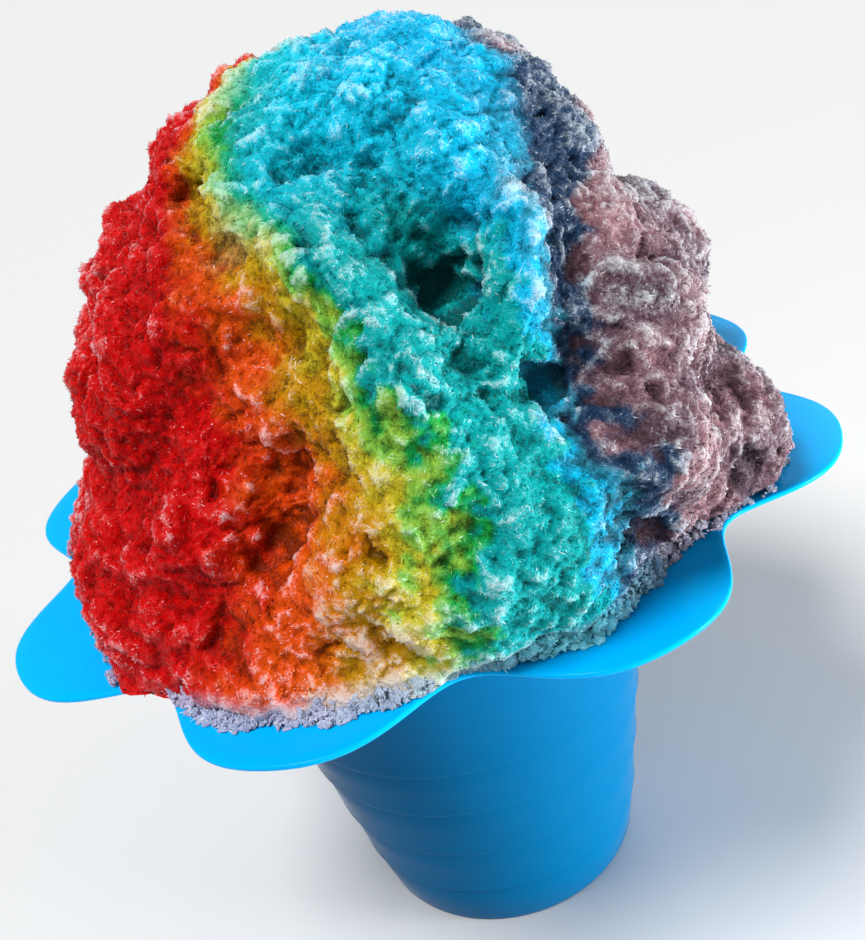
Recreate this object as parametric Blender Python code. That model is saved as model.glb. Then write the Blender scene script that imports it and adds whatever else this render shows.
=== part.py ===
# Rainbow shave ice heaped in a thin plastic cup with a flower-shaped brim, modelled at real size.
# Frame: metres, +Z up, origin at the middle of the cup's foot. The front of the heap faces -Y.

import math

import bmesh
import bpy
import numpy as np
from mathutils import Vector, noise

MM = 0.001

# Cup, in millimetres
BRIM_HEIGHT = 92.4
FOOT_RADIUS = 27.5
MOUTH_RADIUS = 44.8
WALL = 1.1
BRIM_THICKNESS = 1.0
FLOOR_HEIGHT = 1.4
FLOOR_THICKNESS = 1.2
FOOT_RING = 2.4

# The four steps where one band of the wall stands out over the next, and how far it stands out
STEP_HEIGHTS = (12.2, 25.0, 38.2, 50.1)
STEP_OUT = 0.8
STEP_TALL = 0.7

# Flower brim: eight round petals with narrower hollows between them
PETALS = 8
PETAL_MIDDLE = 72.2
PETAL_SWING = 6.3
PETAL_SHARPNESS = -0.36
PETAL_TURN = math.radians(22.3)
SEGMENTS_PER_PETAL = 10
EDGE_ROUND = 0.35

# The thin brim bends a little, up at the front and back and down at the sides
BEND = 1.6
BEND_TURN = math.radians(-75.5)

# Ice
GAP = 0.35
HEAP_CENTRE = np.array([8.0, 0.0, 22.0])
HEAP_POINTS = 5700
BLEND = 4.0
FARTHEST = 100.0
PLUG_RISE = 9.0
PLUG_SEGMENTS = 48

# The heap's main lumps as balls that melt into each other: x, y, height above the brim, radius
LUMPS = np.array([
    (4, 6, 21.5, 42),
    (15.5, 5, 47.5, 28.5),
    (2.5, -6.5, 52, 24.5),
    (-26, 3, 39, 21.5),
    (-31, 11, -15, 38),
    (-14, -21.5, 2.5, 42.5),
    (13, -33.5, 24, 36.5),
    (45.5, -31.5, 7, 15.5),
    (39, -8, 18, 17),
    (49, 13.5, 21, 15),
    (26.5, 14.5, 41.5, 17.5),
    (-24, 33, 14, 33),
    (9, 30, 21.5, 35),
    (39.5, 26.5, 11.5, 24),
    (-7.5, -6.5, 60, 17.5),
    (12.5, -16.5, 47.5, 30.5),
    (-18.5, -27, 37.5, 24.5),
])

# Hollows and crests, each along a short line seen from the heap's centre:
# azimuth and elevation of its two ends and its half width, in degrees, then its height
RELIEF = (
    (-85, 31, -85, 31, 7, -11.0),  # the deep hole at the front
    (-91, 45, -85, 35, 6, -5.0),
    (-84, 24, -87, 17, 6, -5.0),
    (-78, 15, -74, 13, 5, -8.0),
    (-67, 28, -72, 19, 7, -6.5),  # cleft between the blue and the purple ice
    (-56, 42, -60, 35, 5, -5.0),
    (-112, 11, -116, 2, 6, -8.0),  # dark red hollow
    (-118, 24, -120, 16, 8, -6.0),
    (-60, 8, -51, 2, 5, -4.0),
    (-74, -5, -65, -15, 5, -4.0),
    (-163, 32, -140, 21, 3, -4.0),
    (-130, 22, -139, 1, 5, -4.0),
    (-103, 54, -92, 53, 4, -4.0),
    (-129, -4, -125, -9, 5, -5.0),
    (-20, 38, -20, 42, 9, -4.0),
    (-109, 63, -122, 51, 4, 3.0),  # crest of the shoulder
    (-124, 48, -102, 36, 4, 4.0),  # the long crest between yellow and green
    (-102, 36, -95, 21, 4, 4.0),
    (-95, 21, -92, 11, 4, 4.0),
    (-67, 37, -78, 21, 5, 4.0),  # crest right of the deep hole
    (-20, 15, -48, 18, 9, 3.0),
    (-65, 0, -57, -1, 8, 3.0),
    (-85, 2, -80, -8, 8, 3.0),
    (-103, 5, -102, -5, 6, 4.0),
    (-111, 6, -109, -6, 4, 3.0),
    (176, 43, -137, 19, 3, 3.0),
    (-148, 0, -146, -6, 4, 3.0),
    (-126, -14, -103, -18, 3, 4.0),  # ledges of frost on the brim
    (-94, -11, -80, -17, 3, 2.5),
    (35, 40, 20, 5, 6, -6.0),  # clefts and a crest on the side away from the front
    (100, 50, 92, 8, 6, -6.0),
    (150, 35, 140, 0, 6, -5.0),
    (65, 50, 60, 0, 6, 4.0),
    (125, 45, 118, 5, 6, 4.0),
)

# Crags: ridged noise, as size and height, for clumps and for the lumps on them
CLUMP_SIZE, CLUMP_HEIGHT = 15.0, 3.4
CRAG_SIZE, CRAG_HEIGHT = 6.5, 1.9


def clear_scene():
    """Removes whatever the scene starts with."""
    for obj in list(bpy.data.objects):
        bpy.data.objects.remove(obj)


def material(name, colour, roughness):
    """A plain dielectric material."""
    made = bpy.data.materials.new(name)
    made.use_nodes = True
    shader = made.node_tree.nodes["Principled BSDF"]
    shader.inputs["Base Color"].default_value = (*colour, 1.0)
    shader.inputs["Roughness"].default_value = roughness
    shader.inputs["Metallic"].default_value = 0.0
    return made


def object_from(name, points_mm, faces):
    """A mesh object from points in millimetres."""
    mesh = bpy.data.meshes.new(name)
    mesh.from_pydata([Vector(point) * MM for point in points_mm], [], faces)
    mesh.validate()
    mesh.update()
    obj = bpy.data.objects.new(name, mesh)
    bpy.context.scene.collection.objects.link(obj)
    return obj


def ring_faces(first, second, count):
    """Quads between two rings of the same number of points, facing left of the way up."""
    faces = []
    for step in range(count):
        after = (step + 1) % count
        faces.append((first + step, first + after, second + after, second + step))
    return faces


def stacked_rings(rings, low_pole, high_pole):
    """Points and faces of a closed skin: a pole, rings of equal count, and a pole."""
    count = len(rings[0])
    points = [low_pole]
    faces = []
    for ring in rings:
        points.extend(ring)
    points.append(high_pole)
    last = 1 + (len(rings) - 1) * count
    for step in range(count):
        after = (step + 1) % count
        faces.append((0, 1 + after, 1 + step))
        faces.append((last + step, last + after, len(points) - 1))
    for level in range(len(rings) - 1):
        faces.extend(ring_faces(1 + level * count, 1 + (level + 1) * count, count))
    return points, faces


def circle(radius, height, count):
    """A level ring of points."""
    turns = [2 * math.pi * step / count for step in range(count)]
    return [(radius * math.cos(turn), radius * math.sin(turn), height) for turn in turns]


# The cup

def petal_radius(turn):
    """Radius of the brim's edge at an angle."""
    wave = math.cos(PETALS * (turn - PETAL_TURN))
    return PETAL_MIDDLE + PETAL_SWING * (wave + PETAL_SHARPNESS * (wave * wave - 0.5))


def brim_lift(radius, turn):
    """How far the bent brim stands above or below the level of the mouth."""
    share = max(0.0, radius - MOUTH_RADIUS) / (PETAL_MIDDLE + PETAL_SWING - MOUTH_RADIUS)
    return BEND * share * math.cos(2 * (turn - BEND_TURN))


def wall_radius(height):
    """The straight taper that the stepped wall keeps to."""
    return FOOT_RADIUS + (MOUTH_RADIUS - FOOT_RADIUS) * height / BRIM_HEIGHT


def outer_wall():
    """Radius and height up the outside, from the foot to the underside of the brim."""
    profile = [(FOOT_RADIUS - 0.9, 0.0), (FOOT_RADIUS, 0.9)]
    half = STEP_OUT / 2
    for height in STEP_HEIGHTS:
        profile.append((wall_radius(height) - half, height - STEP_TALL))
        profile.append((wall_radius(height) + half, height))
    top = BRIM_HEIGHT - BRIM_THICKNESS
    profile.append((wall_radius(top) - 0.6, top - 3.0))
    profile.append((wall_radius(top) + 0.5, top - 0.9))
    profile.append((wall_radius(top) + 2.0, top))
    return profile


def cup_ring(radius, height, petal_edge):
    """One ring of the cup. petal_edge is None, or how far inside the petals' edge the ring runs."""
    ring = []
    count = PETALS * SEGMENTS_PER_PETAL
    for step in range(count):
        turn = 2 * math.pi * step / count
        reach = radius if petal_edge is None else petal_radius(turn) - petal_edge
        ring.append((reach * math.cos(turn), reach * math.sin(turn), height + brim_lift(reach, turn)))
    return ring


def build_cup():
    """The whole cup as one closed skin, from the middle of the underside to the middle of the floor."""
    floor = FLOOR_HEIGHT + FLOOR_THICKNESS
    rings = [
        cup_ring(FOOT_RADIUS - FOOT_RING - 1.2, FLOOR_HEIGHT, None),
        cup_ring(FOOT_RADIUS - FOOT_RING, 0.0, None),
    ]
    rings += [cup_ring(radius, height, None) for radius, height in outer_wall()]
    under = BRIM_HEIGHT - BRIM_THICKNESS
    rings.append(cup_ring(0, under, EDGE_ROUND))
    rings.append(cup_ring(0, under + EDGE_ROUND, 0.0))
    rings.append(cup_ring(0, BRIM_HEIGHT - EDGE_ROUND, 0.0))
    rings.append(cup_ring(0, BRIM_HEIGHT, EDGE_ROUND))
    rings.append(cup_ring(MOUTH_RADIUS + 0.6, BRIM_HEIGHT, None))
    rings.append(cup_ring(MOUTH_RADIUS - 0.8, BRIM_HEIGHT - 1.2, None))
    rings.append(cup_ring(wall_radius(BRIM_HEIGHT - 5.0) - WALL, BRIM_HEIGHT - 5.0, None))
    rings.append(cup_ring(wall_radius(floor) - WALL, floor, None))
    points, faces = stacked_rings(rings, (0, 0, FLOOR_HEIGHT), (0, 0, floor))
    cup = object_from("flower_cup", points, faces)
    cup.data.materials.append(material("cup_plastic", (0.0, 0.42, 0.83), 0.22))
    cup.data.shade_smooth()
    return cup


# The ice

def sphere_directions(count):
    """Unit vectors spread evenly by the golden angle."""
    index = np.arange(count) + 0.5
    height = 1 - 2 * index / count
    turn = index * math.pi * (1 + math.sqrt(5))
    flat = np.sqrt(1 - height * height)
    return np.stack([flat * np.cos(turn), flat * np.sin(turn), height], axis=1)


def depth_outside(points):
    """Signed distance from the melted-together lumps, positive outside."""
    gap = np.linalg.norm(points[:, None, :] - LUMPS[None, :, :3], axis=2) - LUMPS[:, 3]
    return -BLEND * np.log(np.exp(-gap / BLEND).sum(axis=1))


def smooth_reach(directions):
    """Distance from the heap's centre to its outermost skin, before any relief."""
    inner = np.zeros(len(directions))
    outer = np.full(len(directions), FARTHEST)
    for reach in np.arange(FARTHEST, 0.0, -1.0):
        open_still = inner == 0
        inside = depth_outside(HEAP_CENTRE + directions * reach) < 0
        inner = np.where(open_still & inside, reach, inner)
        outer = np.where(open_still & ~inside, reach, outer)
    for _ in range(10):
        middle = (inner + outer) / 2
        inside = depth_outside(HEAP_CENTRE + directions * middle[:, None]) < 0
        inner = np.where(inside, middle, inner)
        outer = np.where(inside, outer, middle)
    return inner


def direction(azimuth, elevation):
    """Unit vector from two angles in degrees."""
    turn, rise = math.radians(azimuth), math.radians(elevation)
    return np.array([math.cos(rise) * math.cos(turn), math.cos(rise) * math.sin(turn), math.sin(rise)])


def relief_height(directions):
    """The hollows and crests, each fading with the angle from its line."""
    total = np.zeros(len(directions))
    for start_az, start_el, end_az, end_el, width, height in RELIEF:
        start, end = direction(start_az, start_el), direction(end_az, end_el)
        along = end - start
        share = (directions - start) @ along / max(along @ along, 1e-9)
        nearest = start + np.clip(share, 0, 1)[:, None] * along
        away = np.linalg.norm(directions - nearest, axis=1) / math.radians(width)
        total += height * np.exp(-away * away)
    return total


def crag_height(point):
    """Clumps with narrow clefts between them, and smaller lumps on the clumps."""
    clump = 1 - abs(2 * noise.noise(Vector(point) / CLUMP_SIZE))
    lump = 1 - abs(2 * noise.noise(Vector(point) / CRAG_SIZE + Vector((7.3, 2.1, 5.9))))
    return CLUMP_HEIGHT * (0.4 - clump) + CRAG_HEIGHT * (0.4 - lump)


def heap():
    """The heap as a closed skin about its centre. Its lower part is cut away by the brim."""
    directions = sphere_directions(HEAP_POINTS)
    reach = smooth_reach(directions)
    skin = HEAP_CENTRE + directions * reach[:, None]
    reach = reach + relief_height(directions)
    reach = reach + np.array([crag_height(point) for point in skin])
    points = HEAP_CENTRE + directions * reach[:, None] + np.array([0, 0, BRIM_HEIGHT])
    return object_from("heap", points.tolist(), even_faces(directions))


def even_faces(directions):
    """Triangles over evenly spread directions: those of their convex hull."""
    shape = bmesh.new()
    corners = [shape.verts.new(tuple(each)) for each in directions]
    for index, corner in enumerate(corners):
        corner.index = index
    bmesh.ops.convex_hull(shape, input=corners)
    bmesh.ops.triangulate(shape, faces=shape.faces)
    bmesh.ops.recalc_face_normals(shape, faces=shape.faces)
    faces = [[corner.index for corner in face.verts] for face in shape.faces]
    shape.free()
    return faces


def brim_clearance():
    """Everything below the brim's upper face and the gap over it, as a cutter."""
    wide = PETAL_MIDDLE + PETAL_SWING + 30
    rings = [circle(wide, -10.0, PETALS * SEGMENTS_PER_PETAL)]
    for radius in (wide, PETAL_MIDDLE, MOUTH_RADIUS):
        rings.append(cup_ring(radius, BRIM_HEIGHT + GAP, None))
    points, faces = stacked_rings(rings, (0, 0, -10.0), (0, 0, BRIM_HEIGHT + GAP))
    cutter = object_from("brim_clearance", points, faces)
    hide(cutter)
    return cutter


def packed_plug():
    """The ice packed inside the cup, reaching up into the heap."""
    floor = FLOOR_HEIGHT + FLOOR_THICKNESS + GAP
    inside = WALL + GAP + 0.15
    neck = wall_radius(BRIM_HEIGHT - 5.0) - inside
    rings = [
        circle(wall_radius(floor) - inside, floor, PLUG_SEGMENTS),
        circle(neck, BRIM_HEIGHT - 5.0, PLUG_SEGMENTS),
        circle(neck, BRIM_HEIGHT + PLUG_RISE, PLUG_SEGMENTS),
    ]
    points, faces = stacked_rings(rings, (0, 0, floor), (0, 0, BRIM_HEIGHT + PLUG_RISE))
    plug = object_from("packed_plug", points, faces)
    hide(plug)
    return plug


def hide(helper):
    """Marks a helper that is no part of the object."""
    helper.hide_render = True
    helper.display_type = "WIRE"


def boolean(obj, operation, other):
    """Adds an exact Boolean."""
    step = obj.modifiers.new(operation.lower(), "BOOLEAN")
    step.operation = operation
    step.object = other
    step.solver = "EXACT"


def build_ice():
    """Heap and plug as one body of ice, clear of the cup."""
    ice = heap()
    ice.name = "shaved_ice"
    boolean(ice, "DIFFERENCE", brim_clearance())
    boolean(ice, "UNION", packed_plug())
    ice.data.materials.append(material("syruped_ice", (0.06, 0.55, 0.62), 0.5))
    return ice


clear_scene()
build_cup()
build_ice()
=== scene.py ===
"""Rainbow shaved ice in a blue flower-brimmed cup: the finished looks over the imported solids."""

import math

import bmesh
import bpy
import numpy as np
from mathutils import Matrix, Vector, noise


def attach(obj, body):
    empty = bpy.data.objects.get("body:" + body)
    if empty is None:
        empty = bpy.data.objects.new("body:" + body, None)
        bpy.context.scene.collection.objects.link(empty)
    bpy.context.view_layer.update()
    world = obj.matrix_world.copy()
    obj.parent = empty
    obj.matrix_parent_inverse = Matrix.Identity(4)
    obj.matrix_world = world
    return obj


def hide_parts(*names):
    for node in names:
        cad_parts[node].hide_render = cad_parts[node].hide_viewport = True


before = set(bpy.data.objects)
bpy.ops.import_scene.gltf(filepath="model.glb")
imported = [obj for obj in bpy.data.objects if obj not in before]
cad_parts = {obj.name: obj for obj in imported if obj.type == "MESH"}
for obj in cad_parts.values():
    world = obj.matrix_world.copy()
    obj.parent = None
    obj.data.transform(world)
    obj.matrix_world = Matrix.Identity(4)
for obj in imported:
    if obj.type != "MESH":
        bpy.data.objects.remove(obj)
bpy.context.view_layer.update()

MM = 0.001
BRIM_HEIGHT = 92.4
HEAP_CENTRE = np.array([8.0, 0.0, 22.0 + BRIM_HEIGHT])

# The cup's sizes in millimetres, as in the solid, drawn with finer steps
FOOT_RADIUS = 27.5
MOUTH_RADIUS = 44.8
WALL = 1.1
RECESS = 1.4
INNER_FLOOR = 2.6
MIDDLE_RING = 4.0
BRIM_THICKNESS = 1.0
PETALS = 8
PETAL_MIDDLE = 72.2
PETAL_SWING = 6.3
PETAL_SHARPNESS = -0.36
PETAL_TURN = math.radians(22.3)
BEND = 1.6
BEND_TURN = math.radians(-75.5)
STEP_HEIGHTS = (12.2, 25.0, 38.2, 50.1)
PLAIN_HEIGHTS = (60.0, 72.0, 82.0)
BRIM_SHARES = (0.25, 0.5, 0.75, 0.92)
CUP_SEGMENTS = PETALS * 40

# The ice's surface: how finely the solid is divided and rounded before the relief is added
EDGE_CUTS = 6
MERGE_DISTANCE = 0.000002
SKIRT_LEVEL = 0.3
ROUNDING = 24
BRIM_GAP = 0.12

# Relief of the crust in millimetres: the size of each kind of lump and how high it stands
CLUMP_SIZE = 8.0
CLUMP_HEIGHT = 1.7
LUMP_SIZE = 3.6
LUMP_HEIGHT = 1.5
CRUMB_SIZE = 1.6
CRUMB_HEIGHT = 1.1
CREST_SIZE = 8.0
CREST_HEIGHT = 2.0
GRIT_SIZE = 0.8
GRIT_HEIGHT = 0.35
CAVE_DEPTH = 2.4
LEVEL_LIFT = 0.3
FOOT_FADE = 6.0

# Caves: azimuth and elevation of both ends, half width in degrees, and depth from 0 to 1
CAVES = (
    (-85.5, 29, -85, 32, 4.6, 1.0),
    (-87.5, 35, -87, 35, 2.6, 0.8),
    (-94, 22, -92, 18, 1.3, 0.7),
    (-77, 16, -76, 13, 2.2, 0.8),
    (-64, 41, -67, 33, 1.8, 0.8),
    (-117, 10, -118, 1, 4.0, 0.35),
    (-73, -6, -67, -12, 2.2, 0.8),
)

# Broad rises and dips: azimuth, elevation, width in degrees, and height in millimetres
SWELLS = (
    (9, 13, 10, 3.4),
    (10, 2, 5, -1.2),
    (-158, 22, 9, 2.2),
    (-150, 12, 6, -1.6),
    (178, 30, 7, -1.4),
    (-176, 66, 9, -1.3),
    (0, 60, 8, -1.4),
    (-3, 43, 6, -0.8),
)

# The heap's pieces, and the azimuths in degrees where one ends and the next begins
HEAP_PIECES = ("ice_heap_warm", "ice_heap_cool", "ice_heap_dark")
COOL_FROM = -95
DARK_FROM = -20
DARK_TO = 95

# Loose ice
CRUMBS = 2800
CRUMB_NEEDLES = 16000
NEEDLE_PIECES = 2
NEEDLES_A_PIECE = 80000
GRAINS = 26000

# How steeply the fringe's crumbs face up and out, for soft shading
FACING_RISE = 1.2
FACING_LENGTH = 1.56

# Syrups, as the screen colours seen in the hollows. The three before cyan are for the heap's foot: two pale
# blue ice colours, darkened and blued as painted shade with the blue of the brim below, and a pale cyan that
# is painted light on crumbs the heap shades.
SYRUPS = {
    "red": (188, 0, 0),
    "orange": (202, 70, 0),
    "amber": (176, 126, 0),
    "yellow": (182, 168, 30),
    "lime": (124, 176, 56),
    "green": (10, 148, 60),
    "teal": (0, 150, 152),
    "aqua": (16, 176, 178),
    "azure": (0, 170, 212),
    "blue": (44, 126, 152),
    "navy": (28, 54, 84),
    "plum": (72, 54, 68),
    "rose": (142, 100, 108),
    "melt": (140, 165, 195),
    "snow_and_painted_shade": (124, 158, 200),
    "painted_light_on_crumbs": (120, 228, 245),
    "cyan": (0, 188, 216),
}

# Where each syrup is fullest: azimuths in degrees at seven elevations, going round from the back.
# The mauve is a mixture of plum and rose that changes from place to place.
BAND_START = -245
BAND_ELEVATIONS = (-12, 2, 15, 35, 44, 60, 75)
BANDS = (
    ("cyan", (-245, -245, -245, -245, -245, -245, -240)),
    ("navy", (-232, -232, -232, -238, -240, -244, -235)),
    ("red", (-222, -222, -222, -228, -230, -236, -215)),
    ("red", (-130, -127, -124, -131, -139, -156, -177)),
    ("orange", (-117, -113, -115, -121, -133, -151, -170)),
    ("amber", (-106, -101, -106, -113, -128, -148, -162)),
    ("yellow", (-101, -97, -100, -108, -122, -145, -154)),
    ("lime", (-99, -95.5, -97, -105.5, -118, -139, -147)),
    ("green", (-96, -93, -94.5, -103, -114, -133, -139)),
    ("teal", (-94, -91, -92.5, -101, -110, -124, -129)),
    ("teal", (-80, -81, -80, -77, -94, -90, -96)),
    ("azure", (-78, -80, -78.5, -74, -72, -70, -72)),
    ("blue", (-76, -77, -75, -69, -66, -62, -60)),
    ("navy", (-72, -74.5, -73.5, -67, -60, -50, -48)),
    ("navy", (-67, -73, -72.5, -60, -28, -28, -28)),
    ("mauve", (-63, -70, -70.5, -56, -24, -24, -24)),
    ("mauve", (60, 60, 50, 20, -20, -20, -20)),
    ("navy", (74, 74, 70, 60, -10, -10, -10)),
    ("navy", (78, 78, 76, 74, 70, 60, 50)),
    ("teal", (88, 88, 88, 88, 88, 88, 90)),
    ("cyan", (115, 115, 115, 115, 115, 115, 120)),
)

# How the bands waver: size of the noise in millimetres, seed, and sway in degrees
BAND_WAVERS = (
    (11.0, 11, 4.0),
    (4.0, 12, 4.0),
    (1.5, 17, 2.0),
)

# The peak's syrups, and the azimuths where each is fullest
PEAK_SYRUPS = ("aqua", "cyan", "azure")
PEAK_AZIMUTHS = (-150, -108, -66)

# Spots: azimuth and its spread, elevation and its spread, all in degrees, and the amount there
ANY_HEIGHT = math.inf
ROSE_SPOTS = (
    (-54, 10, 30, 9, 0.55),
    (-62, 10, 2, 10, 0.2),
    (-70, 5, 24, 9, -0.4),
)
FROST_SPOTS = (
    (-78, 6, -3, 12, -0.45),
    (-68, 5, 22, 12, -0.14),
    (-98, 6, 0, ANY_HEIGHT, 0.06),
    (-68, 5, 32, 14, 0.2),
    (-145, 16, 68, 9, 0.25),
    (-178, 14, 0, ANY_HEIGHT, 0.2),
    (-4, 14, 0, ANY_HEIGHT, 0.2),
)
WIDE_FROST_SPOTS = (
    (-92, 16, 32, 24, -0.16),
)

# Frost that thickens towards the foot: azimuth, its spread, elevation where it starts, fade, amount
FOOT_FROST = (
    (-140, 14, 4, 14, 0.15),
    (-106, 9, 2, 10, 0.4),
)

# The camera, where the photograph was taken
CAMERA_RISE = math.radians(28.377)
CAMERA_LEAN = math.radians(-16.188)
CAMERA_DISTANCE = 0.22976
CAMERA_LENS = 46.98
CAMERA_SHIFT = (0.0288, -0.001)
FLOOR_REACH = 6000


def linear(colour):
    """Screen colour from 0 to 255 as linear light."""
    share = np.asarray(colour, float) / 255
    return np.where(share <= 0.04045, share / 12.92, ((share + 0.055) / 1.055) ** 2.4)


def new_object(name, points_mm, faces, normals=None):
    """A smooth mesh object from points in millimetres, with its own normals where they are given."""
    mesh = bpy.data.meshes.new(name)
    points = np.asarray(points_mm, float) * MM
    faces = np.asarray(faces)
    sides = faces.shape[1]
    mesh.vertices.add(len(points))
    mesh.vertices.foreach_set("co", points.ravel())
    mesh.loops.add(faces.size)
    mesh.loops.foreach_set("vertex_index", faces.ravel().astype(np.int32))
    mesh.polygons.add(len(faces))
    mesh.polygons.foreach_set("loop_start", np.arange(0, faces.size, sides, dtype=np.int32))
    mesh.update(calc_edges=True)
    mesh.validate()
    mesh.shade_smooth()
    if normals is not None:
        mesh.normals_split_custom_set_from_vertices(normals)
    obj = bpy.data.objects.new(name, mesh)
    bpy.context.scene.collection.objects.link(obj)
    return obj


def unit(vectors):
    """Each row at length 1."""
    return vectors / np.maximum(np.linalg.norm(vectors, axis=1, keepdims=True), 1e-12)


def paint(obj, colours, frost_and_painted_light):
    """Stores the syrup colour and the paleness on the points; the paleness holds rime together with painted
    highlight and painted shade.
    """
    layer = obj.data.color_attributes.new("syrup", "FLOAT_COLOR", "POINT")
    full = np.concatenate([colours, np.ones((len(colours), 1))], axis=1)
    layer.data.foreach_set("color", full.astype(np.float32).ravel())
    layer = obj.data.attributes.new("frost_and_painted_light", "FLOAT", "POINT")
    layer.data.foreach_set("value", frost_and_painted_light.astype(np.float32))


# Noise and smoothing on whole arrays of points

def noise_shift(seed):
    """A place in the noise that is far from every other seed's."""
    return Vector((seed * 3.17, seed * 1.73, seed * 2.39))


def field(points, size, seed):
    """Smooth noise from -1 to 1."""
    shift = noise_shift(seed)
    return np.array([noise.noise(Vector(point) / size + shift) for point in points])


def granules(points, size, seed):
    """Rounded grains pressed together: 1 on a grain's top, near 0 between grains."""
    shift = noise_shift(seed)
    return np.array([1 - noise.voronoi(Vector(point) / size + shift)[0][0] for point in points])


def crests(points, size, seed):
    """Sharp branching ridges, from about 0 in the dips to 1 on the crests."""
    shift = noise_shift(seed)
    values = [
        noise.ridged_multi_fractal(Vector(point) / size + shift, 0.8, 2.1, 4, 1.0, 2.0)
        for point in points
    ]
    return np.clip(np.array(values) / 2.6, 0, 1.2)


def spread(values, edges, rounds):
    """Averages a value over each point's neighbours, several times."""
    near = np.zeros(len(values))
    np.add.at(near, edges[:, 0], 1)
    np.add.at(near, edges[:, 1], 1)
    near = near[:, None]
    for _ in range(rounds):
        total = np.zeros_like(values)
        np.add.at(total, edges[:, 0], values[edges[:, 1]])
        np.add.at(total, edges[:, 1], values[edges[:, 0]])
        values = values + 0.6 * (total / near - values)
    return values


def point_normals(points, faces):
    """Area-weighted normals."""
    a, b, c = (points[faces[:, corner]] for corner in range(3))
    across = np.cross(b - a, c - a)
    normals = np.zeros_like(points)
    for corner in range(3):
        np.add.at(normals, faces[:, corner], across)
    return unit(normals)


# The cup

def round_the_cup(points):
    """Radius and turn of points about the cup's axis."""
    return np.hypot(points[:, 0], points[:, 1]), np.arctan2(points[:, 1], points[:, 0])


def petal_radius(turn):
    """Radius of the brim's edge."""
    wave = np.cos(PETALS * (turn - PETAL_TURN))
    return PETAL_MIDDLE + PETAL_SWING * (wave + PETAL_SHARPNESS * (wave * wave - 0.5))


def brim_lift(radius, turn):
    """How far the bent brim stands above or below the level of the mouth."""
    share = np.maximum(0.0, radius - MOUTH_RADIUS) / (PETAL_MIDDLE + PETAL_SWING - MOUTH_RADIUS)
    return BEND * share * np.cos(2 * (turn - BEND_TURN))


def above_level(points):
    """Height above the brim's upper face."""
    radius, turn = round_the_cup(points)
    return points[:, 2] - BRIM_HEIGHT - brim_lift(radius, turn)


def above_brim(points):
    """Lifts points that would dip into the brim."""
    radius, turn = round_the_cup(points)
    floor = BRIM_HEIGHT + BRIM_GAP + brim_lift(radius, turn)
    lifted = points.copy()
    lifted[:, 2] = np.where(radius > MOUTH_RADIUS, np.maximum(points[:, 2], floor), points[:, 2])
    return lifted


def wall_radius(height):
    """The wall's straight taper."""
    return FOOT_RADIUS + (MOUTH_RADIUS - FOOT_RADIUS) * height / BRIM_HEIGHT


def step_profile(low, height):
    """One stretch of wall and the soft step at its top, as radius, height and no petal inset."""
    middle = (low + height) / 2
    base = wall_radius(height)
    return [
        (wall_radius(middle) + 0.05, middle, None),
        (base - 0.32, height - 1.3, None),
        (base - 0.4, height - 0.75, None),
        (base - 0.25, height - 0.5, None),
        (base + 0.28, height - 0.2, None),
        (base + 0.4, height, None),
        (base + 0.38, height + 0.5, None),
    ]


def cup_profile():
    """Radius, height and petal inset round the cup's section, from the underside to the inner floor."""
    profile = [
        (MIDDLE_RING, RECESS, None),
        (FOOT_RADIUS - 3.9, RECESS, None),
        (FOOT_RADIUS - 3.2, 1.1, None),
        (FOOT_RADIUS - 2.7, 0.3, None),
        (FOOT_RADIUS - 2.3, 0.0, None),
        (FOOT_RADIUS - 0.9, 0.0, None),
        (FOOT_RADIUS - 0.3, 0.25, None),
        (FOOT_RADIUS, 0.9, None),
    ]
    low = 0.9
    for height in STEP_HEIGHTS:
        profile += step_profile(low, height)
        low = height
    for height in PLAIN_HEIGHTS:
        profile.append((wall_radius(height) - 0.05, height, None))
    under = BRIM_HEIGHT - BRIM_THICKNESS
    profile += [
        (wall_radius(under) - 0.6, under - 3.0, None),
        (wall_radius(under) - 0.1, under - 1.6, None),
        (wall_radius(under) + 0.6, under - 0.7, None),
        (wall_radius(under) + 2.0, under, None),
    ]
    profile += [(share, under, "across") for share in BRIM_SHARES]
    profile += [
        (0, under, 0.4),
        (0, under + 0.12, 0.12),
        (0, under + 0.35, 0.0),
        (0, BRIM_HEIGHT - 0.35, 0.0),
        (0, BRIM_HEIGHT - 0.12, 0.12),
        (0, BRIM_HEIGHT, 0.4),
    ]
    profile += [(share, BRIM_HEIGHT, "across") for share in reversed(BRIM_SHARES)]
    inner = BRIM_HEIGHT - 5.0
    profile += [
        (MOUTH_RADIUS + 0.6, BRIM_HEIGHT, None),
        (MOUTH_RADIUS - 0.4, BRIM_HEIGHT - 0.4, None),
        (MOUTH_RADIUS - 0.8, BRIM_HEIGHT - 1.2, None),
        (wall_radius(inner) - WALL, inner, None),
        (wall_radius(INNER_FLOOR) - WALL, INNER_FLOOR, None),
        (MIDDLE_RING, INNER_FLOOR, None),
    ]
    return profile


def close_ends(cup):
    """Caps the small rings left at the middle of the underside and of the inner floor."""
    shape = bmesh.new()
    shape.from_mesh(cup.data)
    rims = [edge for edge in shape.edges if edge.is_boundary]
    bmesh.ops.holes_fill(shape, edges=rims, sides=0)
    bmesh.ops.recalc_face_normals(shape, faces=shape.faces)
    shape.to_mesh(cup.data)
    shape.free()


def mark_backing_and_painted_shade(cup, points):
    """Stores how far the wall below the brim is darkened: partly for the ice behind the translucent wall,
    partly painted shade, strongest on the side away from the lamps.
    """
    radius, turn = round_the_cup(points)
    inside = np.clip((MOUTH_RADIUS + 6 - radius) / 5, 0, 1)
    below = np.clip((BRIM_HEIGHT + 1 - points[:, 2]) / 3, 0, 1)
    # The turn term is painted shade: the wall is darkest on the side away from the lamps.
    backing_and_painted_shade = inside * below * (0.88 - 0.12 * np.cos(turn + 0.5))
    layer = cup.data.attributes.new("backing_and_painted_shade", "FLOAT", "POINT")
    layer.data.foreach_set("value", backing_and_painted_shade.astype(np.float32))


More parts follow.
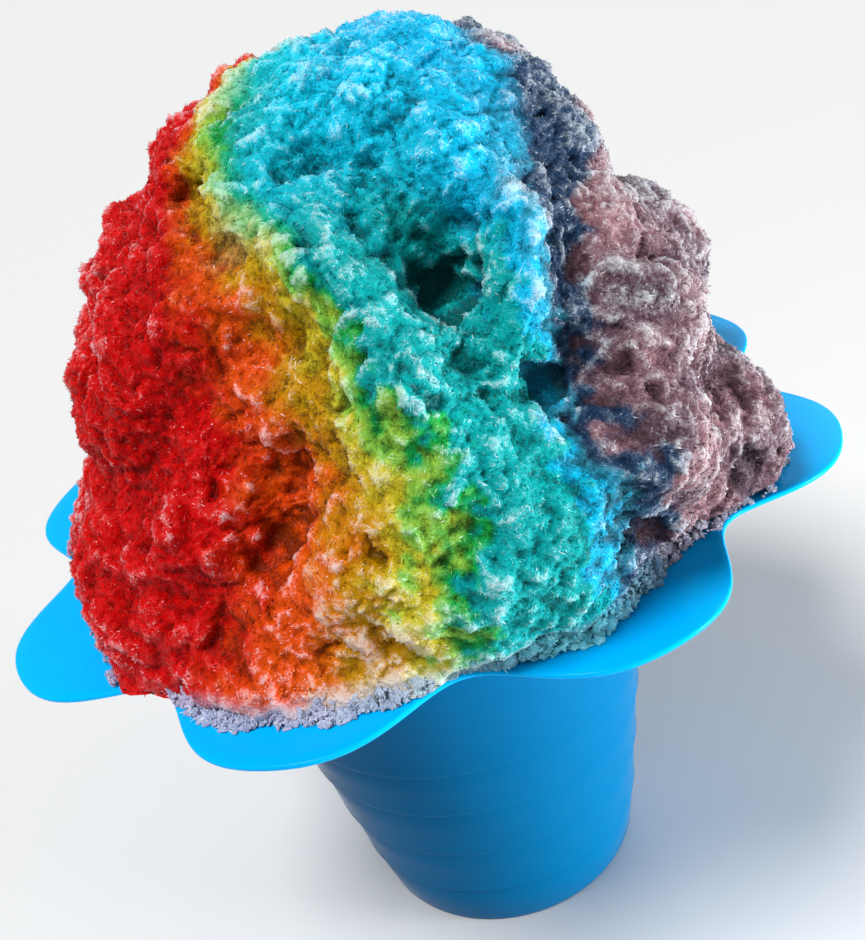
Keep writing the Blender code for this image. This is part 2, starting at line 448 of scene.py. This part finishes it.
def build_cup():
    """The cup as one closed skin with fine petals, round lips and soft steps."""
    turns = np.linspace(0, 2 * math.pi, CUP_SEGMENTS, endpoint=False)
    edge = petal_radius(turns)
    rings = []
    for radius, height, inset in cup_profile():
        if inset is None:
            reach = np.full(CUP_SEGMENTS, radius)
        elif inset == "across":
            reach = (MOUTH_RADIUS + 1.5) * (1 - radius) + (edge - 0.4) * radius
        else:
            reach = edge - inset
        level = height + brim_lift(reach, turns)
        rings.append(np.stack([reach * np.cos(turns), reach * np.sin(turns), level], axis=1))
    points = np.concatenate(rings)
    step = np.arange(CUP_SEGMENTS)
    after = (step + 1) % CUP_SEGMENTS
    faces = []
    for ring in range(len(rings) - 1):
        low = ring * CUP_SEGMENTS
        high = low + CUP_SEGMENTS
        faces.append(np.stack([low + step, low + after, high + after, high + step], axis=1))
    cup = new_object("cup", points, np.concatenate(faces))
    mark_backing_and_painted_shade(cup, points)
    close_ends(cup)
    cup.data.set_sharp_from_angle(angle=math.radians(50))
    return cup


# The heap's shape

def heap_direction(azimuth, elevation):
    """Unit vector from two angles in degrees."""
    turn = math.radians(azimuth)
    rise = math.radians(elevation)
    return np.array([math.cos(rise) * math.cos(turn), math.cos(rise) * math.sin(turn), math.sin(rise)])


def heap_angles(points):
    """Azimuth and elevation in degrees, seen from the heap's centre."""
    away = unit(points - HEAP_CENTRE)
    azimuth = np.degrees(np.arctan2(away[:, 1], away[:, 0]))
    return azimuth, np.degrees(np.arcsin(np.clip(away[:, 2], -1, 1)))


def dense_ice():
    """Points, triangles and edges of the solid ice with its heap finely divided, in millimetres."""
    shape = bmesh.new()
    shape.from_mesh(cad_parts["shaved_ice"].data)
    bmesh.ops.remove_doubles(shape, verts=shape.verts, dist=MERGE_DISTANCE)
    bmesh.ops.triangulate(shape, faces=shape.faces)
    shape.verts.index_update()
    rise = above_level(np.array([corner.co for corner in shape.verts]) / MM)
    edges = [edge for edge in shape.edges if max(rise[corner.index] for corner in edge.verts) > SKIRT_LEVEL]
    bmesh.ops.subdivide_edges(shape, edges=edges, cuts=EDGE_CUTS, use_grid_fill=True)
    bmesh.ops.triangulate(shape, faces=shape.faces)
    shape.verts.index_update()
    points = np.array([corner.co for corner in shape.verts]) / MM
    faces = np.array([[corner.index for corner in face.verts] for face in shape.faces])
    edges = np.array([[corner.index for corner in edge.verts] for edge in shape.edges])
    shape.free()
    return points, faces, edges


def caves(points):
    """Where the crust has fallen away: 0 on the crust, up to 1 inside a cave, with a lobed edge."""
    away = unit(points - HEAP_CENTRE)
    lobes = 0.9 * field(points, 4.5, 9) + 0.9 * (granules(points, 2.8, 10) - 0.6)
    hollow = np.clip((-0.8 - 0.9 * field(points, 11.0, 8) - lobes) / 0.6, 0, 0.7)
    for start_azimuth, start_elevation, end_azimuth, end_elevation, width, depth in CAVES:
        start = heap_direction(start_azimuth, start_elevation)
        along = heap_direction(end_azimuth, end_elevation) - start
        share = np.clip((away - start) @ along / max(along @ along, 1e-9), 0, 1)
        apart = np.degrees(np.linalg.norm(away - start - share[:, None] * along, axis=1))
        hollow = np.maximum(hollow, depth * np.clip((1 - apart / width - lobes) / 0.6, 0, 1))
    return hollow


def swells(points):
    """Broad rises and dips of the skin, in millimetres."""
    away = unit(points - HEAP_CENTRE)
    total = np.zeros(len(points))
    for azimuth, elevation, width, height in SWELLS:
        apart = np.degrees(np.arccos(np.clip(away @ heap_direction(azimuth, elevation), -1, 1)))
        total = total + height * np.exp(-((apart / width) ** 2))
    return total


def relief(points, hollow):
    """How far the crust stands out from the rounded solid, in millimetres."""
    warp = np.stack([field(points, 5.0, seed) for seed in (1, 2, 3)], axis=1) * 2.4
    rough = np.clip(0.55 + 0.9 * field(points, 6.0, 16), 0.15, 1.2)
    height = CLUMP_HEIGHT * (granules(points + warp, CLUMP_SIZE, 4) - 0.5)
    height = height + LUMP_HEIGHT * (granules(points + warp * 0.8, LUMP_SIZE, 5) - 0.5)
    height = height + CRUMB_HEIGHT * rough * (granules(points + warp * 0.5, CRUMB_SIZE, 6) - 0.5)
    height = height + CREST_HEIGHT * (crests(points + warp, CREST_SIZE, 7) - 0.5)
    height = height + GRIT_HEIGHT * field(points, GRIT_SIZE, 15)
    return height + LEVEL_LIFT + swells(points) - CAVE_DEPTH * hollow


def shape_ice():
    """The heap's surface with clumps, crumbs, crests and caves down to about half a millimetre."""
    points, faces, edges = dense_ice()
    free = above_level(points) > SKIRT_LEVEL + 0.1
    points = np.where(free[:, None], spread(points, edges, ROUNDING), points)
    normals = point_normals(points, faces)
    hollow = caves(points)
    foot = np.clip(above_level(points) / FOOT_FADE, 0.15, 1)
    points = points + normals * (relief(points, hollow) * foot * free)[:, None]
    return above_brim(points), faces, edges, hollow


def split_heap(surface):
    """The heap's skin as three pieces by the way they face, which share their normals at the joins."""
    points, faces, normals, colours, frost_and_painted_light = surface
    away = points[faces].mean(axis=1) - HEAP_CENTRE
    turn = np.degrees(np.arctan2(away[:, 1], away[:, 0]))
    part = (turn > COOL_FROM).astype(int) + (turn > DARK_FROM)
    part = np.where(turn > DARK_TO, 0, part)
    pieces = []
    for index, name in enumerate(HEAP_PIECES):
        chosen = faces[part == index]
        used, places = np.unique(chosen, return_inverse=True)
        obj = new_object(name, points[used], places.reshape(chosen.shape), normals[used])
        paint(obj, colours[used], frost_and_painted_light[used])
        pieces.append(obj)
    return pieces


# The heap's colours

def round_patches(azimuth, elevation, rows, power=2):
    """Adds up round patches that fade outwards. A higher power makes them flatter in the middle."""
    total = np.zeros(len(azimuth))
    for middle, width, level, rise, amount in rows:
        apart = ((azimuth - middle) / width) ** power + ((elevation - level) / rise) ** power
        total = total + amount * np.exp(-apart)
    return total


def mauve(points, azimuth, elevation):
    """The mauve at each point, from dark plum to pale rose."""
    rosy = 0.35 + 0.6 * field(points, 9.0, 18) + round_patches(azimuth, elevation, ROSE_SPOTS)
    rosy = np.clip(rosy, 0, 1)[:, None]
    return linear(SYRUPS["plum"]) * (1 - rosy) + linear(SYRUPS["rose"]) * rosy


def peak_share(points, azimuth, elevation):
    """How far the peak's cyan covers the bands, from 0 to 1."""
    upper = np.clip((elevation + 6 * field(points, 8.0, 13) - 38) / 22, 0, 1)
    cool = np.clip((azimuth + 128) / 14, 0, 1) * np.clip((elevation * 1.2 - 116 - azimuth) / 8 + 0.5, 0, 1)
    high = np.clip((elevation - 64) / 8, 0, 1) * (1 - np.exp(-((azimuth + 168) / 26) ** 4))
    top = np.clip((elevation - 77) / 5, 0, 1)
    return upper * np.maximum(cool, np.maximum(high, top))


def bands(points):
    """Syrup colour at each point, as linear light."""
    azimuth, elevation = heap_angles(points)
    for size, seed, sway in BAND_WAVERS:
        azimuth = azimuth + sway * field(points, size, seed)
    azimuth = (azimuth - BAND_START) % 360 + BAND_START
    stops = np.array([np.interp(elevation, BAND_ELEVATIONS, places) for _, places in BANDS])
    dusky = mauve(points, azimuth, elevation)
    colours = [dusky if name == "mauve" else linear(SYRUPS[name]) for name, _ in BANDS]
    blend = colours[0] * np.ones((len(points), 1))
    for index in range(len(BANDS) - 1):
        share = (azimuth - stops[index]) / np.maximum(stops[index + 1] - stops[index], 0.1)
        share = np.clip(share, 0, 1)
        share = (share * share * (3 - 2 * share))[:, None]
        blend = blend * (1 - share) + colours[index + 1] * share
    peaks = np.array([linear(SYRUPS[name]) for name in PEAK_SYRUPS])
    peak = np.stack([np.interp(azimuth, PEAK_AZIMUTHS, peaks[:, channel]) for channel in range(3)], axis=1)
    cap = peak_share(points, azimuth, elevation)[:, None]
    blend = blend * (1 - cap) + peak * cap
    # Painted shade: the lowest few millimetres at the front turn pale blue-grey, pale ice darkened and blued
    # with the blue of the brim below.
    melt = 0.55 * np.clip((BRIM_HEIGHT + 5 - points[:, 2]) / 5, 0, 1) * (azimuth > -132) * (azimuth < -76)
    melt = melt[:, None]
    return blend * (1 - melt) + linear(SYRUPS["melt"]) * melt


def frosting_and_painted_light(points, edges, normals, hollow):
    """How pale the ice is, from -1 for dark and wet in a cave to 1 for white rime. Crests are paler and dips
    and caves darker, partly for rime and wet syrup and partly as painted highlight and painted shade.
    """
    fine = np.einsum("ij,ij->i", points - spread(points, edges, 8), normals)
    near = np.einsum("ij,ij->i", points - spread(points, edges, 40), normals)
    azimuth, elevation = heap_angles(points)
    dusk = np.clip((azimuth + 76) / 8, 0, 1) * (azimuth < 75)
    ember = np.clip((-118 - azimuth) / 8, 0, 1) * (elevation < 60)
    base = dusk * np.clip((elevation - 10) / 100, -0.15, 0.06) - 0.16 * ember
    base = base + round_patches(azimuth, elevation, FROST_SPOTS)
    base = base + round_patches(azimuth, elevation, WIDE_FROST_SPOTS, 4)
    for middle, width, top, fade, amount in FOOT_FROST:
        low = np.clip((top - elevation) / fade, 0, 1)
        base = base + amount * low * np.exp(-((azimuth - middle) / width) ** 2)
    ledge = np.clip((BRIM_HEIGHT + 7 - points[:, 2]) / 6, 0, 1) * (azimuth > -128) * (azimuth < -60)
    patches = (0.2 + 0.12 * dusk) * (field(points, 12.0, 21) + field(points, 4.0, 22))
    grit = (0.12 + 0.18 * dusk) * field(points, 0.9, 24)
    # Painted highlight on the crests and painted shade in the dips and caves, on top of the rime and wet
    # syrup they also stand for.
    curved_rime_and_painted_light = (0.9 * fine + 0.45 * near) * (1 - 0.3 * ember - 0.35 * dusk)
    value = base + curved_rime_and_painted_light + patches + grit + 0.4 * ledge - 0.35 * hollow
    return np.clip(value, -1, 1)


# Loose ice

def pick_spots(points, faces, count, random):
    """Evenly spread places on the heap: the triangle, and the shares of its corners."""
    a, b, c = (points[faces[:, corner]] for corner in range(3))
    area = np.linalg.norm(np.cross(b - a, c - a), axis=1)
    shown = (above_level(a) > 0.4) & (above_level(b) > 0.4)
    area = area * shown
    triangle = random.choice(len(faces), count, p=area / area.sum())
    shares = random.random((count, 2))
    flip = shares.sum(axis=1) > 1
    shares[flip] = 1 - shares[flip]
    return triangle, np.column_stack([1 - shares.sum(axis=1), shares])


def at_spots(values, faces, triangle, shares):
    """A value on the points, read at the picked places."""
    corners = values[faces[triangle]]
    if corners.ndim == 2:
        return (corners * shares).sum(axis=1)
    return (corners * shares[:, :, None]).sum(axis=1)


def crystals(name, surface, count, seed):
    """Thin blades of ice lying in tufts on the surface, mostly along one way in each tuft."""
    random = np.random.default_rng(seed)
    points, faces, normals, colours, frost_and_painted_light = surface
    triangle, shares = pick_spots(points, faces, count, random)
    place = at_spots(points, faces, triangle, shares)
    normal = unit(at_spots(normals, faces, triangle, shares))
    tuft = np.stack([field(place, 2.6, 31 + part) for part in range(3)], axis=1)
    axis = tuft * 1.6 + random.normal(size=(count, 3)) * 0.35
    axis = unit(axis - normal * np.einsum("ij,ij->i", axis, normal)[:, None])
    axis = unit(axis + normal * (0.15 + 0.6 * random.random((count, 1)) ** 2))
    side = unit(np.cross(axis, normal))
    side = side + normal * random.normal(size=(count, 1)) * 0.3
    length = (0.35 + 0.75 * random.random(count) ** 2)[:, None]
    width = (0.06 + 0.06 * random.random(count))[:, None]
    base = place - axis * length * 0.15
    tip = place + axis * length * 0.85
    middle = place + axis * length * 0.3 - normal * width * 0.4
    shape = np.stack([base, middle - side * width, tip, middle + side * width], axis=1).reshape(-1, 3)
    start = np.arange(count)[:, None, None] * 4
    triangles = (start + np.array([(0, 2, 1), (0, 3, 2)])).reshape(-1, 3)
    obj = new_object(name, above_brim(shape), triangles, np.repeat(normal, 4, axis=0))
    # The blades are paler than the ice under them, partly as crystals and partly as painted glints, and a
    # share, most where the ice is pale, are painted near white as glints.
    tint = at_spots(colours, faces, triangle, shares)
    tint = tint * np.clip(1.15 + random.normal(size=(count, 1)) * 0.2, 0.85, 1.7)
    paleness_under = at_spots(frost_and_painted_light, faces, triangle, shares)
    painted_glint = (random.random(count) < 0.05 + 0.5 * np.clip(paleness_under + 0.1, 0, 1)) * 0.7
    white = paleness_under + random.normal(size=count) * 0.18 + painted_glint
    tip_rise = np.array([0.0, 0.0, 0.2, 0.0])
    white = np.clip(white[:, None] + tip_rise, -1, 1.2).reshape(-1)
    paint(obj, np.repeat(np.clip(tint, 0, 1), 4, axis=0), white)
    return obj


def grains(name, surface, count, seed):
    """Small uneven grains of ice frozen to the surface, each with four facets showing."""
    random = np.random.default_rng(seed)
    points, faces, normals, colours, frost_and_painted_light = surface
    triangle, shares = pick_spots(points, faces, count, random)
    place = at_spots(points, faces, triangle, shares)
    normal = unit(at_spots(normals, faces, triangle, shares))
    first = unit(np.cross(normal, random.normal(size=(count, 3))))
    second = np.cross(normal, first)
    size = 0.18 + 0.32 * random.random((count, 1)) ** 2
    reach = 0.6 + 0.8 * random.random((count, 4, 1))
    rim = np.stack([first, second, -first, -second], axis=1) * reach * size[:, None]
    rim = rim + (place - normal * 0.12)[:, None]
    lean = (random.random((count, 2)) - 0.5) * 0.8
    top = place + normal * size * (0.5 + 0.6 * random.random((count, 1)))
    top = top + (first * lean[:, :1] + second * lean[:, 1:]) * size
    shape = above_brim(np.concatenate([rim, top[:, None]], axis=1).reshape(-1, 3))
    sides = np.array([(0, 1, 4), (1, 2, 4), (2, 3, 4), (3, 0, 4)])
    triangles = (np.arange(count)[:, None, None] * 5 + sides).reshape(-1, 3)
    obj = new_object(name, shape, triangles)
    tint = at_spots(colours, faces, triangle, shares)
    tint = tint * np.clip(1.1 + random.normal(size=(count, 1)) * 0.16, 0.8, 1.6)
    white = at_spots(frost_and_painted_light, faces, triangle, shares) + random.normal(size=count) * 0.1
    top_rise = np.array([0.0, 0.0, 0.0, 0.0, 0.15])
    white = np.clip(white[:, None] + top_rise, -1, 1).reshape(-1)
    paint(obj, np.repeat(np.clip(tint, 0, 1), 5, axis=0), white)
    return obj


def foot_radius(points, where):
    """How far out the heap's foot lies at each turn in degrees."""
    level = above_level(points)
    low = points[(level > 0.2) & (level < 2.5)]
    radius, turn = round_the_cup(low)
    turn = np.degrees(turn)
    stops = np.arange(-180, 181, 4)
    foot = [radius[np.abs((turn - stop + 180) % 360 - 180) < 4].max() for stop in stops]
    return np.interp(where, stops, foot)


def small_ball():
    """Corners and triangles of a coarse ball of radius 1."""
    ball = bmesh.new()
    bmesh.ops.create_icosphere(ball, subdivisions=1, radius=1.0)
    ball.verts.index_update()
    corners = np.array([corner.co for corner in ball.verts])
    sides = np.array([[corner.index for corner in face.verts] for face in ball.faces])
    ball.free()
    return corners, sides


def crumb_colours(place, where):
    """Pale blue ice at the front, darkened and blued as painted shade with the blue of the brim below; the
    bands' own syrup elsewhere; and a pale cyan painted light at the right, on crumbs that the heap shades.
    """
    # Painted shade: the front crumbs are darkened and blued.
    snow_and_painted_shade = (0.3 + 0.4 * np.clip((-80 - where) / 8, 0, 1))[:, None]
    inner = (1 - snow_and_painted_shade) * bands(place) + snow_and_painted_shade * linear(SYRUPS["snow_and_painted_shade"])
    # Painted light: the crumbs at the right, under the heap's overhang, are lit up pale cyan.
    painted_light_on_crumbs = 0.8 * np.exp(-((where + 75) / 10) ** 2)[:, None]
    return (1 - painted_light_on_crumbs) * inner + painted_light_on_crumbs * linear(SYRUPS["painted_light_on_crumbs"])


def fringe(name, surface, count, seed):
    """Crumbs of pale ice heaped along the foot of the heap, where it lies on the brim."""
    random = np.random.default_rng(seed)
    front = random.random(count) < 0.62
    where = np.where(front, -136 + 84 * random.random(count), 360 * random.random(count) - 180)
    gap = np.where(front, 3.0, 2.0) * random.random(count) - np.where(front, 2.4, 2.0)
    gap = gap + 0.7 * np.sin(np.radians(where) * 23) + 0.4 * np.sin(np.radians(where) * 57)
    gap = gap + 4.0 * random.random(count) * np.exp(-((where + 160) / 5) ** 2)
    angle = np.radians(where)
    reach = np.minimum(foot_radius(surface[0], where) + gap, petal_radius(angle) - 0.4)
    size = 0.25 + 0.45 * random.random(count) ** 3
    pile = np.clip(1.0 - gap, 0, 3.6) * random.random(count) * np.where(front, 1.0, 0.6)
    lift = BRIM_HEIGHT + brim_lift(reach, angle) + size * 0.4 + pile
    place = np.stack([reach * np.cos(angle), reach * np.sin(angle), lift], axis=1)
    corners, sides = small_ball()
    stretch = 0.5 + 1.1 * random.random((count, 1, 3))
    uneven = 0.55 + 0.9 * random.random((count, len(corners), 1))
    shape = place[:, None] + corners[None] * stretch * uneven * size[:, None, None]
    shape = above_brim(shape.reshape(-1, 3))
    triangles = (np.arange(count)[:, None, None] * len(corners) + sides).reshape(-1, 3)
    outward = np.stack([np.cos(angle), np.sin(angle), np.full(count, FACING_RISE)], axis=1)
    outward = outward / FACING_LENGTH
    facing = unit(0.7 * np.repeat(outward, len(corners), axis=0) + 0.3 * point_normals(shape, triangles))
    inner = np.repeat(crumb_colours(place, where), len(corners), axis=0)
    pale = np.repeat(0.15 + 0.45 * random.random(count), len(corners))
    obj = new_object(name, shape, triangles, facing)
    paint(obj, inner, pale)
    return obj, (shape, triangles, facing, inner, pale)


# Shader helpers

def add(tree, kind, **inputs):
    """Adds a shader node and sets its inputs by name."""
    node = tree.nodes.new(kind)
    for name, value in inputs.items():
        node.inputs[name.replace("_", " ")].default_value = value
    return node


def attribute(tree, name):
    """A node that reads a value stored on the points."""
    node = add(tree, "ShaderNodeAttribute")
    node.attribute_name = name
    return node


def noise_texture(tree, place, scale, detail, distortion=0.0):
    """Noise in the object's own space, as a socket."""
    node = add(tree, "ShaderNodeTexNoise", Scale=scale, Detail=detail, Distortion=distortion)
    tree.links.new(place, node.inputs["Vector"])
    return node.outputs["Fac"]


def mapped(tree, value, low, high):
    """A value from 0 to 1 mapped to another range, as a socket."""
    node = add(tree, "ShaderNodeMapRange", To_Min=low, To_Max=high)
    tree.links.new(value, node.inputs["Value"])
    return node.outputs["Result"]


def ramp(tree, value, stops):
    """A curve through stops, as a socket: each stop is an input and an output value."""
    socket = None
    for (low, start), (high, end) in zip(stops, stops[1:]):
        part = add(tree, "ShaderNodeMapRange", From_Min=low, From_Max=high)
        part.inputs["To Min"].default_value = start if socket is None else 0.0
        part.inputs["To Max"].default_value = end if socket is None else end - start
        tree.links.new(value, part.inputs["Value"])
        if socket is None:
            socket = part.outputs["Result"]
            continue
        both = add(tree, "ShaderNodeMath")
        both.operation = "ADD"
        tree.links.new(socket, both.inputs[0])
        tree.links.new(part.outputs["Result"], both.inputs[1])
        socket = both.outputs[0]
    return socket


def mixed(tree, share, first, second):
    """A blend of two colours. Each may be a socket or a plain colour, and the share a socket or a number."""
    mix = add(tree, "ShaderNodeMix")
    mix.data_type = "RGBA"
    for name, value in (("Factor", share), ("A", first), ("B", second)):
        if isinstance(value, bpy.types.NodeSocket):
            tree.links.new(value, mix.inputs[name])
        else:
            mix.inputs[name].default_value = value
    return mix.outputs["Result"]


def summed(tree, value, share, rest):
    """value times share, plus rest where there is one, as a socket."""
    sum_node = add(tree, "ShaderNodeMath")
    sum_node.operation = "MULTIPLY_ADD"
    tree.links.new(value, sum_node.inputs[0])
    sum_node.inputs[1].default_value = share
    sum_node.inputs[2].default_value = 0.0
    if rest is not None:
        tree.links.new(rest, sum_node.inputs[2])
    return sum_node.outputs[0]


def scaled(tree, colour, share):
    """A colour times a socket or a number, as a socket."""
    node = add(tree, "ShaderNodeVectorMath")
    node.operation = "SCALE"
    tree.links.new(colour, node.inputs[0])
    if isinstance(share, bpy.types.NodeSocket):
        tree.links.new(share, node.inputs["Scale"])
    else:
        node.inputs["Scale"].default_value = share
    return node.outputs["Vector"]


def bumped(tree, height, strength, distance):
    """Links a height to the shader's normal."""
    node = add(tree, "ShaderNodeBump", Strength=strength, Distance=distance)
    tree.links.new(height, node.inputs["Height"])
    tree.links.new(node.outputs["Normal"], tree.nodes["Principled BSDF"].inputs["Normal"])


# Materials

def ice_colour(tree, syrup, total):
    """Deep syrup where total is low, milky syrup in the middle, and rime where it is high. The dark end
    holds wet syrup and painted shade, the pale end rime and painted highlights.
    """
    wet_and_painted_shade = ramp(tree, total, ((-0.4, 0.3), (0.3, 1.0)))
    tinted = ramp(tree, total, ((0.3, 0.0), (1.0, 0.8)))
    white = ramp(tree, total, ((0.7, 0.0), (1.4, 0.75)))
    deep = scaled(tree, syrup, wet_and_painted_shade)
    bright = scaled(tree, syrup, 1.35)
    parts = add(tree, "ShaderNodeSeparateColor")
    parts.mode = "HSV"
    tree.links.new(syrup, parts.inputs["Color"])
    haze = ramp(tree, parts.outputs["Green"], ((1.0, 0.02), (0.7, 0.32)))
    milky = mixed(tree, haze, bright, (0.9, 0.95, 0.97, 1.0))
    crust = mixed(tree, tinted, deep, milky)
    rime = mixed(tree, 0.66, bright, (0.76, 0.84, 0.9, 1.0))
    return mixed(tree, white, crust, rime)


def ice_material(name, specular, streaks):
    """Syruped ice: deep and wet in the dips, paler on the crests, white where frosted, with fine streaks.
    The dark dips and pale crests carry painted shade and highlight too, and a painted rim highlight pales
    the ice where it is seen edge-on.
    """
    made = bpy.data.materials.new(name)
    made.use_nodes = True
    tree = made.node_tree
    shader = tree.nodes["Principled BSDF"]
    link = tree.links.new
    place = add(tree, "ShaderNodeTexCoord").outputs["Object"]
    total = attribute(tree, "frost_and_painted_light").outputs["Fac"]
    height = None
    for scale, share in ((2200.0, 0.22), (1000.0, 0.30), (450.0, 0.24)):
        thread = noise_texture(tree, place, scale, 1.0, 1.2)
        line = ramp(tree, thread, ((0.36, 0.0), (0.5, 1.0), (0.64, 0.0)))
        total = summed(tree, line, share * streaks, total)
        height = summed(tree, line, 450.0 / scale, height)
    # Painted rim highlight: the ice turns paler where it is seen edge-on.
    edge = add(tree, "ShaderNodeLayerWeight", Blend=0.5)
    rim = ramp(tree, edge.outputs["Facing"], ((0.6, 0.0), (1.0, 1.0)))
    total = summed(tree, rim, 0.4, total)
    syrup = attribute(tree, "syrup").outputs["Color"]
    link(ice_colour(tree, syrup, total), shader.inputs["Base Color"])
    facets = add(tree, "ShaderNodeTexVoronoi", Scale=1500.0)
    link(place, facets.inputs["Vector"])
    link(mapped(tree, facets.outputs["Color"], 0.1, 0.5), shader.inputs["Roughness"])
    bumped(tree, height, 0.5, 0.0002)
    shader.inputs["IOR"].default_value = 1.33
    shader.inputs["Specular IOR Level"].default_value = specular
    shader.inputs["Sheen Weight"].default_value = 0.05
    shader.inputs["Sheen Roughness"].default_value = 0.4
    return made


def cup_material():
    """Blue thermoformed plastic with faint ripples and scuffs, darker below the brim where ice stands behind
    it, with painted shade deepening it on the side away from the lamps.
    """
    made = bpy.data.materials.new("blue_cup_look")
    made.use_nodes = True
    tree = made.node_tree
    shader = tree.nodes["Principled BSDF"]
    link = tree.links.new
    place = add(tree, "ShaderNodeTexCoord").outputs["Object"]
    cloud = noise_texture(tree, place, 45.0, 3.0)
    shade = mixed(tree, cloud, (0.0, 0.38, 0.86, 1.0), (0.0, 0.44, 0.96, 1.0))
    backing_and_painted_shade = attribute(tree, "backing_and_painted_shade").outputs["Fac"]
    link(mixed(tree, backing_and_painted_shade, shade, (0.0, 0.07, 0.18, 1.0)), shader.inputs["Base Color"])
    scuff = noise_texture(tree, place, 900.0, 4.0)
    link(mapped(tree, scuff, 0.12, 0.26), shader.inputs["Roughness"])
    bumped(tree, noise_texture(tree, place, 110.0, 2.0), 0.25, 0.0006)
    shader.inputs["IOR"].default_value = 1.4
    shader.inputs["Specular IOR Level"].default_value = 0.05
    return made


def floor_material():
    """Pale matt paper."""
    made = bpy.data.materials.new("pale_floor")
    made.use_nodes = True
    shader = made.node_tree.nodes["Principled BSDF"]
    shader.inputs["Base Color"].default_value = (0.62, 0.62, 0.62, 1.0)
    shader.inputs["Roughness"].default_value = 0.9
    return made


# Stage

def add_lamp(name, data, towards, place=(0, 0, 0)):
    """Adds a lamp at a place. towards is the way from what it lights to the lamp."""
    lamp = bpy.data.objects.new(name, data)
    lamp.location = place
    lamp.rotation_mode = "QUATERNION"
    lamp.rotation_quaternion = Vector(towards).to_track_quat("Z", "Y")
    bpy.context.scene.collection.objects.link(lamp)


def sun_light(name, towards, strength, angle, colour):
    """A wide, soft sun. towards is the direction it is seen in."""
    data = bpy.data.lights.new(name, "SUN")
    data.energy = strength
    data.angle = math.radians(angle)
    data.color = colour
    add_lamp(name, data, towards)


def area_light(name, place, aim, size, power):
    """A soft square lamp pointed at a place."""
    data = bpy.data.lights.new(name, "AREA")
    data.shape = "RECTANGLE"
    data.size = size
    data.size_y = size
    data.energy = power
    add_lamp(name, data, Vector(place) - Vector(aim), place)


def build_camera():
    """The camera where the photograph was taken, a little above the heap and leaning."""
    back = Vector((0, -math.cos(CAMERA_RISE), math.sin(CAMERA_RISE)))
    place = Vector((0, 0, BRIM_HEIGHT * MM)) + back * CAMERA_DISTANCE
    level = Vector((1, 0, 0))
    upright = level.cross(-back)
    right = level * math.cos(CAMERA_LEAN) + upright * math.sin(CAMERA_LEAN)
    up = upright * math.cos(CAMERA_LEAN) - level * math.sin(CAMERA_LEAN)
    data = bpy.data.cameras.new("camera")
    data.lens = CAMERA_LENS
    data.shift_x, data.shift_y = CAMERA_SHIFT
    data.clip_start = 0.01
    camera = bpy.data.objects.new("camera", data)
    turn = Matrix((right, up, back)).transposed().to_4x4()
    camera.matrix_world = Matrix.Translation(place) @ turn
    bpy.context.scene.collection.objects.link(camera)
    bpy.context.scene.camera = camera


def build_stage():
    """Floor, lamps, sky and the camera."""
    corners = [(x * FLOOR_REACH, y * FLOOR_REACH, 0) for x, y in ((-1, -1), (1, -1), (1, 1), (-1, 1))]
    floor = new_object("floor", corners, [(0, 1, 2, 3)])
    floor.data.materials.append(floor_material())
    sun_light("key", (-0.36, -0.28, 0.89), 3.2, 22, (1.0, 0.99, 0.97))
    sun_light("back", (0.35, 0.75, 0.65), 0.9, 50, (0.92, 0.97, 1.0))
    area_light("window", (0.38, -0.20, 0.03), (0.01, 0, 0.04), 0.12, 3.5)
    world = bpy.data.worlds.new("soft_sky")
    world.use_nodes = True
    sky = world.node_tree.nodes["Background"]
    sky.inputs["Color"].default_value = (0.95, 0.97, 1.0, 1.0)
    sky.inputs["Strength"].default_value = 0.35
    bpy.context.scene.world = world
    bpy.context.scene.view_settings.view_transform = "Standard"
    build_camera()


def main():
    """Builds every piece, hands it to the frame, and sets the stage."""
    cup = build_cup()
    cup.data.materials.append(cup_material())
    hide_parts("flower_cup")
    points, faces, edges, hollow = shape_ice()
    normals = point_normals(points, faces)
    surface = (points, faces, normals, bands(points), frosting_and_painted_light(points, edges, normals, hollow))
    heap = split_heap(surface)
    for piece in heap:
        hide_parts("shaved_ice")
    crumbs, foot = fringe("ice_fringe", surface, CRUMBS, 51)
    loose = [grains("ice_grains", surface, GRAINS, 31), crumbs]
    loose.append(crystals("ice_fringe_needles", foot, CRUMB_NEEDLES, 61))
    for index in range(NEEDLE_PIECES):
        loose.append(crystals(f"ice_needles_{index + 1}", surface, NEEDLES_A_PIECE, 41 + index))
    packed = ice_material("packed_ice_look", 0.1, 1.0)
    glinting = ice_material("loose_ice_look", 0.25, 0.4)
    for piece in heap + loose:
        piece.data.materials.append(packed if piece in heap else glinting)
    for piece in [cup, *heap, *loose]:
        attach(piece, "root")
    build_stage()


main()
